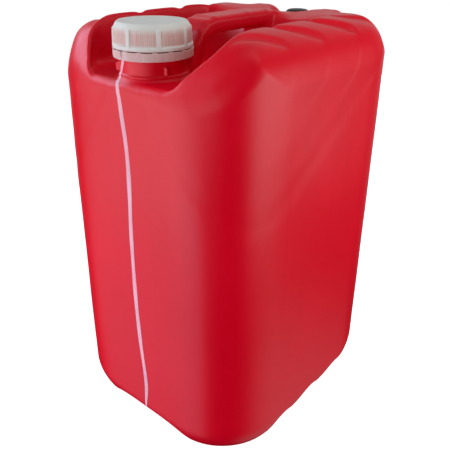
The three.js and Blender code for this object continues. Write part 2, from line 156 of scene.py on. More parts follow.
def body_distance(x, y, z):
    """Signed distance (about) to the outside of the moulded shell."""
    ax = np.abs(x)
    hx = HALF_W - DRAFT_W * (z - 200.0) / 200.0
    hy = HALF_L - DRAFT_L * (z - 200.0) / 200.0
    qx, qy = ax - (hx - CORNER_R), np.abs(y) - (hy - CORNER_R)
    plan = easy_corner(qx, qy, CORNER_R)

    # shoulders: round along the sides and the rear, a long slope at the front
    top = TOP_FRONT + (TOP_REAR - TOP_FRONT) * step(25.0, 85.0, y)
    s = step(20.0, 112.0, y)
    a, b = 54.5 - 18.0 * s, 60.5 - 7.0 * s
    qr = y - (hy - CORNER_R)
    sides = easy_corner(qx, qr, CORNER_R)
    d = easy_corner(sides + a, (z - (top - b)) * (a / b), a)
    slope = soft_max(plan, (z - 386.6 - 3.0 * step(30.0, 70.0, ax) + 9.0 * step(84.0, 116.0, ax) - 1.05 * (y + hy)) * 0.69, 13.5 + 15.0 * step(20.0, 80.0, ax))
    d = soft_max(d, slope, 0.01 + 25.0 * step(0.0, 40.0, -sides))
    # lower corners behind the ridges
    d = d + 3.4 * step(49.0, 61.0, ax) * step(92.0, 112.0, y) * step(396.0, 424.0, z)
    # rounded base edge, wider at the corners
    sx, sy = 0.5 * (qx + np.sqrt(qx * qx + 300.0)), 0.5 * (qy + np.sqrt(qy * qy + 300.0))
    share = sx * sx / (sx * sx + sy * sy)
    edge = 36.0 + (34.0 + 22.0 * step(0.0, 90.0, y)) * share * (1.0 - share)
    d = np.maximum(d, round_corner(plan + edge + 1.0, edge - z, edge))

    # slow waviness of a blown wall
    d = d + step(0.0, 40.0, z) * (
        0.16 * np.sin(0.047 * y + 1.3) * np.sin(0.035 * z + 0.4) + 0.05 * np.sin(0.061 * z - 0.024 * y + 0.052 * x))

    # scoops along the outer edge of each ridge: pressed in under a slanting wall with a round rear end, running out forwards
    whole = d
    for cx, cy, depth in SCOOPS:
        out = (ax - cx) * 0.91 - (y - cy) * 0.415
        deep = depth * step(-58.0, -18.0, y - cy) * (1.0 - step(103.0, 115.0, ax))
        floor = whole + deep * (1.0 - np.maximum(out, 0.0) / 15.0)
        wall = smin(out * 0.84 + 0.54 * (z - 430.0), (cy + 10.5 - y) * 0.9 + 0.44 * (z - 427.0), 7.0)
        d = smax(d, -smax(-wall, -floor, 2.6), 1.8)
    # hollow between the ridges: level at the neck, deep under the handle, steep up to the rear deck
    floor = RECESS_FLOOR + (WELL_FLOOR - RECESS_FLOOR) * step(-86.0, -60.0, y)
    floor = floor - 11.0 * (1.0 - np.sqrt(1.0 - np.clip((-133.0 - y) / 11.5, 0.0, 0.999) ** 2))
    rear = 48.0 * step(30.0, 58.0, y) + 6.0 * np.clip((y - 54.0) / 36.0, 0.0, 1.6) + 0.0016 * x * x * step(40.0, 70.0, y)
    wall = sd_polygon(CHANNEL, x, y)
    cut = smax(wall - 0.09 * (z - 390.0), floor + rear - z, 8.0)
    d = smax(d, -cut, 2.6)

    # pocket around the vent neck, open to the rear
    r = np.where(y > VENT_Y, ax, np.sqrt(x * x + (y - VENT_Y) ** 2))
    cut = smax(r - 25.5 - 0.16 * (z - 405.0), 405.0 - z, 8.0)
    d = smax(d, -cut, 9.0)

    # handle, with the web that carries its rear end
    h = np.minimum(sd_path(HANDLE, y, z), sd_path(HANDLE_WEB, y, z))
    h = round_corner(h + 5.0, ax - 10.0, 5.0)
    d = smin(d, h, 8.0 + 9.0 * step(20.0, 50.0, y))

    # feet of the two necks
    r = np.sqrt(x * x + (y - NECK_Y) ** 2)
    foot = np.maximum(np.maximum(r - 29.8 - 4.2 * np.exp(-np.maximum(z - 387.0, 0.0) / 3.2), z - 393.6), 378.0 - z)
    d = smin(d, foot, 4.0)
    r = np.sqrt(x * x + (y - VENT_Y) ** 2)
    foot = np.maximum(np.maximum(r - 12.3 - 3.5 * np.exp(-np.maximum(z - 405.0, 0.0) / 1.6), z - 409.0), 398.0 - z)
    d = smin(d, foot, 2.5)

    # base: recessed panel, raised edges between the feet
    panel = round_corner(ax - 62.0 + 24.0, np.abs(y) - 82.0 + 24.0, 24.0)
    d = smax(d, -smax(panel + (z - 0.0) * 0.8, z - 3.0, 3.0), 2.5)
    for dy in BASE_DENT_Y:
        ex, ey, ez = (ax - 122.0) / 26.0, (y - dy) / 25.0, (z + 2.0) / 25.5
        e = (np.sqrt(ex * ex + ey * ey + ez * ez) - 1.0) * 25.0
        d = smax(d, -e, 7.0)
    ex, ey, ez = ax / 61.0, (np.abs(y) - 143.0) / 26.0, (z + 2.0) / 26.0
    e = (np.sqrt(ex ** 4 + ey * ey + ez * ez) - 1.0) * 25.0
    d = smax(d, -e, 7.0)
    return d


def surface_net(xs, ys, zs, field):
    """Quads on the zero surface of a field sampled on a rectilinear grid."""
    ins = field < 0
    count = np.zeros(tuple(n - 1 for n in field.shape), np.uint8)
    nx, ny, nz = count.shape
    corners = [(i, j, k) for i in (0, 1) for j in (0, 1) for k in (0, 1)]
    for i, j, k in corners:
        count += ins[i:i + nx, j:j + ny, k:k + nz]
    active = (count > 0) & (count < 8)
    cells = np.argwhere(active)
    index = np.full(count.shape, -1, np.int64)
    index[active] = np.arange(len(cells))
    val = {c: field[cells[:, 0] + c[0], cells[:, 1] + c[1], cells[:, 2] + c[2]] for c in corners}
    pos = {c: np.stack([xs[cells[:, 0] + c[0]], ys[cells[:, 1] + c[1]], zs[cells[:, 2] + c[2]]], 1) for c in corners}
    total = np.zeros((len(cells), 3))
    hits = np.zeros(len(cells))
    for c in corners:
        for axis in range(3):
            if c[axis]:
                continue
            e = tuple(1 if t == axis else c[t] for t in range(3))
            va, vb = val[c], val[e]
            cross = (va < 0) != (vb < 0)
            t = np.where(cross, va / np.where(cross, va - vb, 1.0), 0.0)
            p = pos[c] + (pos[e] - pos[c]) * t[:, None]
            total += np.where(cross[:, None], p, 0.0)
            hits += cross
    verts = total / hits[:, None]
    quads = []
    for axis in range(3):
        o1, o2 = (axis + 1) % 3, (axis + 2) % 3
        lo = [slice(None)] * 3
        hi = [slice(None)] * 3
        lo[axis], hi[axis] = slice(0, -1), slice(1, None)
        flip = ins[tuple(lo)] != ins[tuple(hi)]
        edge = np.argwhere(flip)
        keep = (edge[:, o1] > 0) & (edge[:, o2] > 0) & (edge[:, o1] < count.shape[o1]) & (edge[:, o2] < count.shape[o2])
        edge = edge[keep]
        outward = ins[tuple(edge.T)]
        ring = []
        for s1, s2 in ((-1, -1), (0, -1), (0, 0), (-1, 0)):
            c = edge.copy()
            c[:, o1] += s1
            c[:, o2] += s2
            ring.append(index[tuple(c.T)])
        q = np.stack(ring, 1)
        q[~outward] = q[~outward][:, ::-1]
        quads.append(q)
    return verts, np.concatenate(quads)


def settle(verts, field, rounds=3, reach=1.5):
    """Moves net points along the gradient on to the exact surface."""
    start = verts.copy()
    h = 0.3
    for _ in range(rounds):
        x, y, z = verts.T
        f = field(x, y, z)
        g = np.stack([
            field(x + h, y, z) - field(x - h, y, z),
            field(x, y + h, z) - field(x, y - h, z),
            field(x, y, z + h) - field(x, y, z - h)], 1) / (2 * h)
        move = -(f / np.maximum((g * g).sum(1), 0.2))[:, None] * g
        verts = verts + np.clip(move, -1.0, 1.0)
    off = verts - start
    far = np.linalg.norm(off, axis=1)
    verts = start + off * np.minimum(1.0, reach / np.maximum(far, 1e-9))[:, None]
    return verts


def spaced(*runs):
    """Grid lines: runs of (start, end, spacing)."""
    out = []
    for a, b, s in runs:
        out.append(np.linspace(a, b, max(2, int(round((b - a) / s)) + 1))[:-1])
    out.append(np.array([runs[-1][1]]))
    return np.concatenate(out)


def mesh_object(name, verts, faces, material, smooth=True):
    me = bpy.data.meshes.new(name)
    faces = np.asarray(faces)
    if faces.dtype != object and faces.ndim == 2 and faces.shape[1] == 4:
        n = len(faces)
        me.vertices.add(len(verts))
        me.vertices.foreach_set("co", (np.asarray(verts, f32) * f32(MM)).ravel())
        me.loops.add(4 * n)
        me.loops.foreach_set("vertex_index", faces.astype(np.int32).ravel())
        me.polygons.add(n)
        me.polygons.foreach_set("loop_start", np.arange(0, 4 * n, 4, dtype=np.int32))
        me.polygons.foreach_set("loop_total", np.full(n, 4, np.int32))
        me.update(calc_edges=True)
        me.validate()
    else:
        me.from_pydata([tuple(MM * c for c in v) for v in verts], [], [list(f) for f in faces])
        me.validate()
    me.polygons.foreach_set("use_smooth", np.full(len(me.polygons), smooth))
    me.materials.append(material)
    o = bpy.data.objects.new(name, me)
    bpy.context.scene.collection.objects.link(o)
    return o


def fillet(profile, default=0.5, n=4):
    """Rounds the corners of an open (r, z) profile; a point may carry its own radius."""
    pts = [np.array(p[:2], float) for p in profile]
    rad = [p[2] if len(p) > 2 else default for p in profile]
    out = [pts[0]]
    for i in range(1, len(pts) - 1):
        a, b, c = pts[i - 1], pts[i], pts[i + 1]
        la, lc = np.linalg.norm(a - b), np.linalg.norm(c - b)
        r = min(rad[i], 0.45 * la, 0.45 * lc)
        if r < 0.02:
            out.append(b)
            continue
        p, q = b + (a - b) / la * r, b + (c - b) / lc * r
        for k in range(n + 1):
            t = k / n
            out.append((1 - t) ** 2 * p + 2 * t * (1 - t) * b + t * t * q)
    out.append(pts[-1])
    return np.array(out)


def refine(profile, longest):
    """Splits long stretches of a profile."""
    out = [profile[0]]
    for a, b in zip(profile[:-1], profile[1:]):
        n = max(1, int(math.ceil(np.linalg.norm(b - a) / longest)))
        for k in range(1, n + 1):
            out.append(a + (b - a) * k / n)
    return np.array(out)


def turned(name, profile, segments, y0, material, shape=None, start=0.0):
    """Turned piece about a vertical axis. shape(angle, r, z) may change the radius and the height.
    A profile that starts or ends on the axis is closed there with a fan of quads."""
    ang = start + np.arange(segments) * (2 * np.pi / segments)
    r, z = profile[:, 0], profile[:, 1]
    A, R = np.meshgrid(ang, r, indexing="ij")
    Z = np.broadcast_to(z, R.shape).copy()
    if shape is not None:
        R, Z = shape(A, R.copy(), Z)
    V = np.stack([R * np.cos(A), R * np.sin(A) + y0, Z], -1).reshape(-1, 3)
    n = len(profile)
    faces = []
    for i in range(segments):
        j = (i + 1) % segments
        for k in range(n - 1):
            p, q, s, t = i * n + k, j * n + k, j * n + k + 1, i * n + k + 1
            faces.append((p, q, s, t))
    V = [tuple(v) for v in V]
    # close on the axis
    for end, k in ((0, 0), (1, n - 1)):
        if abs(r[k]) < 1e-6:
            hub = len(V)
            V.append((0.0, y0, float(z[k])))
            ids = {i * n + k for i in range(segments)}
            faces = [tuple(hub if v in ids else v for v in f) for f in faces]
    clean = []
    for f in faces:
        g = []
        for v in f:
            if v not in g:
                g.append(v)
        if len(g) > 2:
            clean.append(tuple(g))
    used = sorted({v for f in clean for v in f})
    remap = {v: i for i, v in enumerate(used)}
    V = [V[v] for v in used]
    clean = [tuple(remap[v] for v in f) for f in clean]
    return mesh_object(name, V, np.array(clean, dtype=object), material)


RIB0 = math.radians(-35.0)      # one of the eight grip ribs of the cap
FLUTES = 120                    # fine flutes round the cap

# -------------------------------------------------------------------- materials
def new_material(name):
    m = bpy.data.materials.new(name)
    m.use_nodes = True
    nt = m.node_tree
    return m, nt, nt.nodes["Principled BSDF"]


def node(nt, kind, **props):
    n = nt.nodes.new(kind)
    for k, v in props.items():
        if k in n.inputs:
            n.inputs[k].default_value = v
        else:
            setattr(n, k, v)
    return n


def srgb(r, g, b):
    def lin(c):
        c = c / 255.0
        return c / 12.92 if c <= 0.04045 else ((c + 0.055) / 1.055) ** 2.4
    return (lin(r), lin(g), lin(b), 1.0)


def noise(nt, coord, scale, detail=3.0, rough=0.5, stretch=(1, 1, 1)):
    mp = node(nt, "ShaderNodeMapping")
    mp.inputs["Scale"].default_value = stretch
    nt.links.new(coord, mp.inputs["Vector"])
    n = node(nt, "ShaderNodeTexNoise")
    n.inputs["Scale"].default_value = scale
    n.inputs["Detail"].default_value = detail
    n.inputs["Roughness"].default_value = rough
    nt.links.new(mp.outputs["Vector"], n.inputs["Vector"])
    return n.outputs["Fac"]


def ramp(nt, fac, stops, interpolation="LINEAR"):
    n = node(nt, "ShaderNodeValToRGB")
    n.color_ramp.interpolation = interpolation
    el = n.color_ramp.elements
    while len(el) < len(stops):
        el.new(0.5)
    for e, (p, c) in zip(el, stops):
        e.position = p
        e.color = c if len(c) == 4 else (*c, 1.0)
    nt.links.new(fac, n.inputs["Fac"])
    return n.outputs["Color"]


def span(nt, fac, lo, hi, a=0.0, b=1.0):
    n = node(nt, "ShaderNodeMapRange")
    n.inputs["From Min"].default_value = a
    n.inputs["From Max"].default_value = b
    n.inputs["To Min"].default_value = lo
    n.inputs["To Max"].default_value = hi
    nt.links.new(fac, n.inputs["Value"])
    return n.outputs["Result"]


def math_node(nt, op, a, b):
    n = node(nt, "ShaderNodeMath", operation=op)
    for i, v in enumerate((a, b)):
        if isinstance(v, (int, float)):
            n.inputs[i].default_value = v
        else:
            nt.links.new(v, n.inputs[i])
    return n.outputs[0]


def bump(nt, height, distance, strength=1.0, under=None):
    n = node(nt, "ShaderNodeBump")
    n.inputs["Strength"].default_value = strength
    n.inputs["Distance"].default_value = distance
    nt.links.new(height, n.inputs["Height"])
    if under is not None:
        nt.links.new(under, n.inputs["Normal"])
    return n.outputs["Normal"]


def object_coord(nt):
    return node(nt, "ShaderNodeTexCoord").outputs["Object"]


def red_polyethylene():
    m, nt, p = new_material("red_polyethylene")
    co = object_coord(nt)
    cloud = noise(nt, co, 9.0, 3.0, 0.55)
    streak = noise(nt, co, 1.0, 4.0, 0.6, (70, 70, 5))
    grain = noise(nt, co, 1500.0, 2.0, 0.5)
    pebble = noise(nt, co, 420.0, 3.0, 0.55)
    mix = math_node(nt, "ADD", math_node(nt, "MULTIPLY", cloud, 0.65), math_node(nt, "MULTIPLY", streak, 0.35))
    col = ramp(nt, mix, [(0.30, srgb(208, 0, 28)), (0.52, srgb(214, 0, 31)), (0.75, srgb(220, 2, 35))])
    nt.links.new(col, p.inputs["Base Color"])
    rough = math_node(nt, "ADD", span(nt, cloud, 0.29, 0.37), span(nt, pebble, -0.015, 0.015))
    nt.links.new(rough, p.inputs["Roughness"])
    n1 = bump(nt, pebble, 0.00007, 0.35)
    n2 = bump(nt, grain, 0.00002, 0.35, n1)
    nt.links.new(n2, p.inputs["Normal"])
    p.inputs["IOR"].default_value = 1.52
    p.inputs["Specular IOR Level"].default_value = 0.5
    return m


def natural_polyethylene(name, light, dark, sss, transmission, rough=(0.36, 0.5)):
    m, nt, p = new_material(name)
    co = object_coord(nt)
    cloud = noise(nt, co, 45.0, 3.0, 0.55)
    grain = noise(nt, co, 1400.0, 2.0, 0.5)
    col = ramp(nt, cloud, [(0.3, dark), (0.7, light)])
    nt.links.new(col, p.inputs["Base Color"])
    nt.links.new(span(nt, cloud, *rough), p.inputs["Roughness"])
    nt.links.new(bump(nt, grain, 0.00004, 0.4), p.inputs["Normal"])
    p.inputs["IOR"].default_value = 1.5
    if sss:
        p.inputs["Subsurface Weight"].default_value = sss
        p.inputs["Subsurface Radius"].default_value = (1.0, 0.9, 0.85)
        p.inputs["Subsurface Scale"].default_value = 0.004
    if transmission:
        p.inputs["Transmission Weight"].default_value = transmission
    return m


def black_plastic(name, base, rough):
    m, nt, p = new_material(name)
    co = object_coord(nt)
    cloud = noise(nt, co, 90.0, 3.0, 0.6)
    grain = noise(nt, co, 1600.0, 2.0, 0.5)
    col = ramp(nt, cloud, [(0.3, srgb(base, base, base)), (0.7, srgb(base + 9, base + 9, base + 9))])
    nt.links.new(col, p.inputs["Base Color"])
    nt.links.new(span(nt, cloud, rough - 0.06, rough + 0.06), p.inputs["Roughness"])
    nt.links.new(bump(nt, grain, 0.00006, 0.5), p.inputs["Normal"])
    return m


def foam_white():
    m, nt, p = new_material("wad_foam")
    co = object_coord(nt)
    cells = node(nt, "ShaderNodeTexVoronoi")
    cells.inputs["Scale"].default_value = 1800.0
    nt.links.new(co, cells.inputs["Vector"])
    col = ramp(nt, cells.outputs["Distance"], [(0.0, srgb(236, 234, 226)), (0.8, srgb(248, 247, 242))])
    nt.links.new(col, p.inputs["Base Color"])
    nt.links.new(span(nt, cells.outputs["Distance"], 0.7, 0.85), p.inputs["Roughness"])
    nt.links.new(bump(nt, cells.outputs["Distance"], 0.0001, 0.5), p.inputs["Normal"])
    return m


RED = red_polyethylene()
STRIPE = natural_polyethylene("stripe_polyethylene", srgb(238, 182, 194), srgb(228, 164, 178), 0.25, 0.0, (0.32, 0.42))


def colour_mix(nt, fac, a, b):
    n = node(nt, "ShaderNodeMix", data_type="RGBA")
    for i, v in ((0, fac), (6, a), (7, b)):
        if isinstance(v, tuple):
            n.inputs[i].default_value = v
        else:
            nt.links.new(v, n.inputs[i])
    return n.outputs[2]


def cap_polyethylene():
    """Uncoloured polyethylene, milky where it is thick; the red glow of the neck it covers is painted into the colour
    between the grip ribs, where the wall is less thick, and round the lower rim.
    """
    m, nt, p = new_material("cap_polyethylene")
    co = object_coord(nt)
    mp = node(nt, "ShaderNodeMapping")
    mp.inputs["Location"].default_value = (0.0, -NECK_Y * MM, 0.0)
    nt.links.new(co, mp.inputs["Vector"])
    turn = node(nt, "ShaderNodeTexGradient", gradient_type="RADIAL")
    nt.links.new(mp.outputs["Vector"], turn.inputs["Vector"])
    parts = node(nt, "ShaderNodeSeparateXYZ")
    nt.links.new(co, parts.inputs[0])
    height = parts.outputs["Z"]
    cloud = noise(nt, co, 45.0, 3.0, 0.55)
    grain = noise(nt, co, 1400.0, 2.0, 0.5)
    streak = noise(nt, co, 1.0, 2.0, 0.6, (420, 420, 18))
    rib = math_node(nt, "PINGPONG", math_node(nt, "ADD", math_node(nt, "MULTIPLY", turn.outputs["Fac"], 8.0), 8.0 - RIB0 * 4.0 / math.pi), 0.5)
    flute = math_node(nt, "PINGPONG", math_node(nt, "MULTIPLY", turn.outputs["Fac"], float(FLUTES)), 0.5)
    milk = ramp(nt, cloud, [(0.3, srgb(224, 226, 220)), (0.7, srgb(232, 233, 228))])
    # painted glow: the red of the neck seen through the cap wall, streaked along the flutes, as a pinkish colour
    glow_streak_mix = math_node(nt, "ADD", math_node(nt, "MULTIPLY", flute, 0.9), math_node(nt, "MULTIPLY", streak, 0.75))
    painted_neck_glow = ramp(nt, glow_streak_mix, [(0.25, srgb(214, 160, 150)), (0.55, srgb(222, 188, 180)), (0.85, srgb(228, 210, 203))])
    # where the painted glow goes: the ribbed band of the wall, between the grip ribs
    wall = math_node(nt, "MULTIPLY", span(nt, height, 0.0, 1.0, 0.4194, 0.4212), span(nt, height, 1.0, 0.0, 0.4285, 0.4338))
    wall = math_node(nt, "MULTIPLY", wall, span(nt, rib, 0.0, 1.0, 0.055, 0.085))
    col = colour_mix(nt, wall, milk, painted_neck_glow)
    # painted glow: the lower rim gets a streaky pinkish colour standing in for the red neck's light through the wall
    rim_painted_glow = ramp(nt, streak, [(0.3, srgb(218, 178, 174)), (0.7, srgb(226, 198, 193))])
    col = colour_mix(nt, span(nt, height, 1.0, 0.0, 0.4150, 0.4182), col, rim_painted_glow)
    nt.links.new(col, p.inputs["Base Color"])
    nt.links.new(span(nt, cloud, 0.40, 0.52), p.inputs["Roughness"])
    nt.links.new(bump(nt, grain, 0.00004, 0.4), p.inputs["Normal"])
    p.inputs["Specular IOR Level"].default_value = 0.35
    p.inputs["Subsurface Weight"].default_value = 0.3
    p.inputs["Subsurface Radius"].default_value = (1.0, 0.9, 0.85)
    p.inputs["Subsurface Scale"].default_value = 0.0015
    tr = node(nt, "ShaderNodeBsdfTranslucent")
    nt.links.new(col, tr.inputs["Color"])
    mix = node(nt, "ShaderNodeMixShader")
    mix.inputs["Fac"].default_value = 0.16
    nt.links.new(p.outputs["BSDF"], mix.inputs[1])
    nt.links.new(tr.outputs["BSDF"], mix.inputs[2])
    nt.links.new(mix.outputs["Shader"], nt.nodes["Material Output"].inputs["Surface"])
    return m


CAP = cap_polyethylene()
VENT_BLACK = black_plastic("vent_black", 22, 0.42)
GASKET_BLACK = black_plastic("gasket_rubber", 26, 0.75)
WAD = foam_white()


# ---------------------------------------------------------------- moulded shell
xs = spaced((-129, -112, 2.2), (-112, -76, 1.4), (-76, -40, 1.6), (-40, 40, 1.35), (40, 76, 1.6), (76, 112, 1.4), (112, 129, 2.2))
ys = spaced((-150, -60, 1.4), (-60, 86, 1.5), (86, 150, 1.7))
zs = spaced((-3.3, 3.3, 1.1), (3.3, 46, 2.4), (46, 372, 7.5), (372, 386, 2.2), (386, 440, 1.4))
field = body_distance(xs[:, None, None], ys[None, :, None], zs[None, None, :]).astype(np.float64)
V, Q = surface_net(xs, ys, zs, field)
V = settle(V, body_distance)


def drop_faces(V, Q, y0, radius, low):
    """Opens the skin under a neck."""
    c = V[Q].mean(1)
    inside = (np.hypot(c[:, 0], c[:, 1] - y0) < radius) & (c[:, 2] > low)
    return Q[~inside]


Q = drop_faces(V, Q, NECK_Y, 28.4, 389.0)
Q = drop_faces(V, Q, VENT_Y, 10.6, 403.0)

# inside of the shell, one wall further in
gx, gy, gz = spaced((-126, 126, 4.5)), spaced((-147, 147, 4.5)), spaced((0, 60, 4.5), (60, 366, 15.0), (366, 438, 3.6))


def inner_distance(x, y, z):
    return body_distance(x, y, z) + WALL


W, P = surface_net(gx, gy, gz, inner_distance(gx[:, None, None], gy[None, :, None], gz[None, None, :]))
W = settle(W, inner_distance, 3, 3.0)
P = P[:, ::-1]
P = drop_faces(W, P, NECK_Y, 27.0, 380.0)
P = drop_faces(W, P, VENT_Y, 10.0, 398.0)


def compact(V, Q):
    used = np.unique(Q)
    remap = np.full(len(V), -1, np.int64)
    remap[used] = np.arange(len(used))
    return V[used], remap[Q]


V, Q = compact(V, Q)
W, P = compact(W, P)
shell = mesh_object("can_shell", np.concatenate([V, W]), np.concatenate([Q, P + len(V)]), RED)
print("shell quads", len(Q), len(P))


# ----------------------------------------------------------------------- necks
def thread_shape(r0, bead, pitch, turns, z0, radius):
    """Adds the right-hand thread bead to a plain wall of that radius."""
    def shape(A, R, Z):
        wall = np.abs(R - r0) < 0.05
        add = np.zeros_like(R)
        a = np.mod(A, 2 * np.pi)
        for n in range(int(math.ceil(turns)) + 1):
            t = a + 2 * np.pi * n
            ok = (t >= 0) & (t <= 2 * np.pi * turns)
            taper = np.clip(np.minimum(t, 2 * np.pi * turns - t) / 0.25, 0.0, 1.0)
            zc = z0 + pitch * t / (2 * np.pi)
            h = radius + np.sqrt(np.maximum(bead ** 2 - (Z - zc) ** 2, 0.0)) - r0
            h = np.where(ok & (np.abs(Z - zc) < bead), np.maximum(h, 0.0) * taper, 0.0)
            add = np.maximum(add, h)
        return R + np.where(wall, add, 0.0), Z
    return shape


LUGS = [math.radians(a) for a in (-24, -130, 66, 156)]


def neck_shape(A, R, Z):
    R, Z = thread_shape(NECK_R, BEAD, PITCH, TURNS, THREAD_Z, NECK_R + 0.3)(A, R, Z)
    # ratchet lugs on the wall under the ring
    zone = (Z > 396.6) & (Z < 404.0) & (R > 28.9)
    for a in LUGS:
        arc = np.abs(np.mod(A - a + np.pi, 2 * np.pi) - np.pi) * 29.3
        R = R + np.where(zone, 3.2 * np.clip(1.5 - arc, 0.0, 1.0) * np.clip((404.0 - Z) / 1.2, 0.0, 1.0), 0.0)
    return R, Z


neck_profile = fillet([
    (30.0, 389.0), (30.0, 393.2, 0.6), (30.7, 393.8, 0.6), (30.7, 395.0, 0.6), (29.3, 396.2, 0.8),
    (29.3, 411.6, 0.4), (30.2, 412.3, 0.4), (30.2, 414.0, 0.4), (NECK_R, 415.2, 0.4),
    (NECK_R, NECK_TOP, 0.6), (NECK_BORE, NECK_TOP, 0.6), (NECK_BORE, 385.5),
])
neck_profile = refine(neck_profile, 0.55)
pour_neck = turned("pour_neck", neck_profile, 240, NECK_Y, RED, neck_shape)

vent_profile = refine(fillet([
    (12.1, 403.8), (12.1, 408.6, 0.4), (14.0, 409.2, 0.4), (14.0, 410.6, 0.4), (VENT_R, 411.6, 0.4),
    (VENT_R, VENT_TOP, 0.4), (VENT_BORE, VENT_TOP, 0.4), (VENT_BORE, 400.0),
]), 0.5)
vent_neck = turned("vent_neck", vent_profile, 128, VENT_Y, RED,
                   thread_shape(VENT_R, V_BEAD, V_PITCH, V_TURNS, V_THREAD_Z, VENT_R + 0.2))

# ----------------------------------------------------------------- sight stripe
STRIPE_PATH = np.array([
    (32, 1.1), (36, 1.6), (44, 2.5), (56, 3.7), (70, 4.0), (88, 2.6), (102, 1.3), (117, -0.1), (132, -0.9), (147, -1.8), (162, -2.6),
    (176, -3.0), (191, -3.3), (205, -3.2), (232, -3.1), (245, -2.9), (258, -2.5), (271, -1.8), (283, -1.0), (295, -0.5), (307, -0.1),
    (319, -0.1), (330, -0.3), (341, -1.2), (351, -2.5), (361, -4.1), (371, -5.2), (379, -6.0), (384, -7.2), (386.6, -8.8),
    (389.1, -11.2), (391.4, -13.0), (394.2, -13.8), (396.2, -13.2), (400, -11.0), (403.8, -8.6), (408, -7.2)])


def front_distance(x, y, z):
    d = body_distance(x, y, z)
    r = np.sqrt(x * x + (y - NECK_Y) ** 2)
    rn = np.interp(z, [380, 393.2, 393.8, 395.0, 396.2, 409.0], [30.0, 30.0, 30.7, 30.7, 29.3, 29.3])
    neck = np.where((z > 390.0) & (z < 412.0), r - rn, 1e3)
    return np.minimum(d, neck)


def front_surface(x, z):
    """Depth y of the front surface, looking along +Y."""
    lo = np.full(x.shape, -152.0)
    hi = np.full(x.shape, -128.0)
    t = lo.copy()
    for _ in range(160):
        d = front_distance(x, t, z)
        t = np.minimum(t + np.maximum(d, 0.0) * 0.6, hi)
    return t


def make_stripe():
    zz = np.concatenate([np.linspace(28, 60, 22), np.linspace(62, 376, 110), np.linspace(377.2, 407.5, 40)])
    xc = np.interp(zz, STRIPE_PATH[:, 0], STRIPE_PATH[:, 1])
    k = np.exp(-0.5 * (np.arange(-6, 7) / 2.5) ** 2)
    k /= k.sum()
    xc = np.convolve(np.pad(xc, 6, mode="edge"), k, mode="valid")
    half = 2.8 * np.sqrt(np.clip((zz - 27.6) / 26.0, 0.0, 1.0)) * (1.0 + 0.06 * np.sin(zz * 0.11) + 0.05 * np.sin(zz * 0.043 + 1.0))
    cols = np.array([-1.0, -0.8, -0.4, 0.0, 0.4, 0.8, 1.0])
    X = xc[:, None] + half[:, None] * cols[None, :]
    Z = np.repeat(zz[:, None], len(cols), 1)
    Y = front_surface(X.ravel(), Z.ravel()).reshape(X.shape)
    lift = 0.16 * np.clip((1.0 - np.abs(cols)) / 0.2, 0.0, 1.0) + np.where(np.abs(cols) > 0.99, -0.12, 0.0)
    Yf = Y - lift[None, :]
    Yb = Y + 1.0
    rows, nc = X.shape
    front = np.stack([X, Yf, Z], -1).reshape(-1, 3)
    back = np.stack([X, Yb, Z], -1).reshape(-1, 3)
    V = np.concatenate([front, back])
    off = rows * nc
    F = []
    for i in range(rows - 1):
        for j in range(nc - 1):
            a, b, c, d = i * nc + j, i * nc + j + 1, (i + 1) * nc + j + 1, (i + 1) * nc + j
            F.append((a, b, c, d))
            F.append((off + a, off + d, off + c, off + b))
        for j in (0, nc - 1):
            a, d = i * nc + j, (i + 1) * nc + j
            F.append((a, d, off + d, off + a) if j == 0 else (a, off + a, off + d, d))
    for j in range(nc - 1):
        F.append((j, off + j, off + j + 1, j + 1))
        t = (rows - 1) * nc + j
        F.append((t, t + 1, off + t + 1, off + t))
    return mesh_object("sight_strip", V, np.array(F), STRIPE)


stripe = make_stripe()

# -------------------------------------------------------- cap, ring, wad


def cap_shape(A, R, Z):
    outer = (R > 31.5) & (Z > 419.0)
    rise = np.clip((Z - 419.2) / 0.6, 0.0, 1.0) * np.clip((433.6 - Z) / 1.6, 0.0, 1.0)
    a = np.mod(A - RIB0 + np.pi / 8, np.pi / 4) - np.pi / 8
    arc = np.abs(a) * 33.0
    broad = 1.15 * np.clip((2.1 - arc) / 0.6, 0.0, 1.0)
    fine = 0.3 * (0.5 + 0.5 * np.cos(A * FLUTES))
    R = R + np.where(outer, rise * np.maximum(broad, fine), 0.0)
    # inside thread
    wall = np.abs(R - 30.7) < 0.05
    aa = np.mod(A, 2 * np.pi)
    add = np.zeros_like(R)
    for n in range(3):
        t = aa + 2 * np.pi * n
        ok = t <= 2 * np.pi * TURNS
        taper = np.clip(np.minimum(t, 2 * np.pi * TURNS - t) / 0.25, 0.0, 1.0)
        zc = THREAD_Z - PITCH / 2 + PITCH * t / (2 * np.pi)
        h = np.sqrt(np.maximum(BEAD ** 2 - (Z - zc) ** 2, 0.0)) + 0.3
        h = np.where(ok & (np.abs(Z - zc) < BEAD), h * taper, 0.0)
        add = np.maximum(add, h)
    return R - np.where(wall, add, 0.0), Z


cap_profile = refine(fillet([
    (0.0, 436.5), (24.5, 436.5, 1.0), (26.0, 436.8, 1.0), (29.3, 437.1, 0.9), (31.3, 435.0, 2.0), (32.5, 431.6, 1.6),
    (33.0, 419.8, 0.6), (34.2, 419.1, 0.5), (34.3, 416.2, 0.4), (33.0, 416.1, 0.3),
    (30.7, 416.1, 0.3), (30.7, 433.6, 0.4), (30.2, 434.6, 0.4), (28.0, 434.6, 0.3), (0.0, 434.6),
]), 0.7)
cap = turned("screw_cap", cap_profile, 720, NECK_Y, CAP, cap_shape)

RING_SLIT = math.atan2(-34.4, -1.6)
BRIDGES = [RING_SLIT + math.radians(a) for a in (7, 29, 51, 74, 97, 120, 143, 166, 189, 212, 235, 258, 281, 304, 327, 350)]


